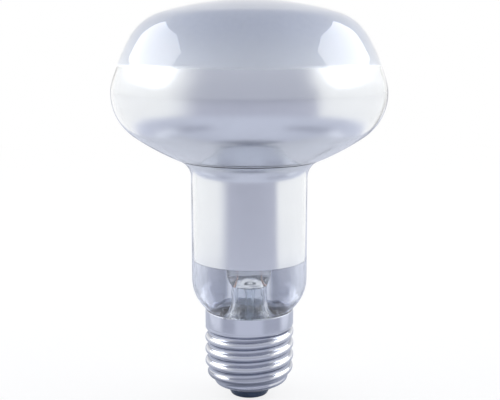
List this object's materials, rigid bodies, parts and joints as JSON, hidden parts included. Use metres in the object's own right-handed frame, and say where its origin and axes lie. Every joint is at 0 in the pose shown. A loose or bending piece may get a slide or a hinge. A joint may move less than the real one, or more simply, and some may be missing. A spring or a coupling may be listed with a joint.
{
  "type": "reflector bulb",
  "caption": "Reflector lamp with a broad frosted front, a mirrored head and neck, a clear glass foot that shows its stem, and a rolled screw cap with a centre contact.",
  "frame": {"origin": "on the axis, at the flat bottom of the centre contact", "axes": "+Z along the axis from the centre contact to the frosted front; -Y is the side that the picture shows"},
  "size_m": [0.0794, 0.0794, 0.117],
  "materials": {
    "clear_glass": "clear blown glass, frosted inside at the front",
    "mirror_layer": "bright vapour-coated metal layer",
    "stem_glass": "clear glass",
    "plated_cap": "bright nickel-plated sheet",
    "black_glass": "black opaque glass, glossy",
    "solder": "dull soft solder",
    "lead_wire": "nickel-plated wire",
    "copper_wire": "copper-clad wire",
    "tungsten": "dark grey wound wire",
    "cement": "matt brown-grey"
  },
  "bodies": {
    "root": {"glass_envelope": "clear_glass", "mirror_coating": "mirror_layer", "stem_flare": "stem_glass", "exhaust_tube": "stem_glass", "support_rod": "stem_glass", "seal_wire_left": "copper_wire", "seal_wire_right": "copper_wire", "inner_lead_left": "lead_wire", "inner_lead_right": "lead_wire", "filament": "tungsten", "filament_hook_1": "tungsten", "filament_hook_2": "tungsten", "filament_hook_3": "tungsten", "side_lead": "lead_wire", "contact_lead": "lead_wire", "fuse_sleeve": "stem_glass", "fuse_wire": "copper_wire", "cap_shell": "plated_cap", "cap_insulator": "black_glass", "contact_plate": "plated_cap", "contact_solder": "solder", "rim_weld": "solder", "cap_cement": "cement"}
  },
  "joints": []
}
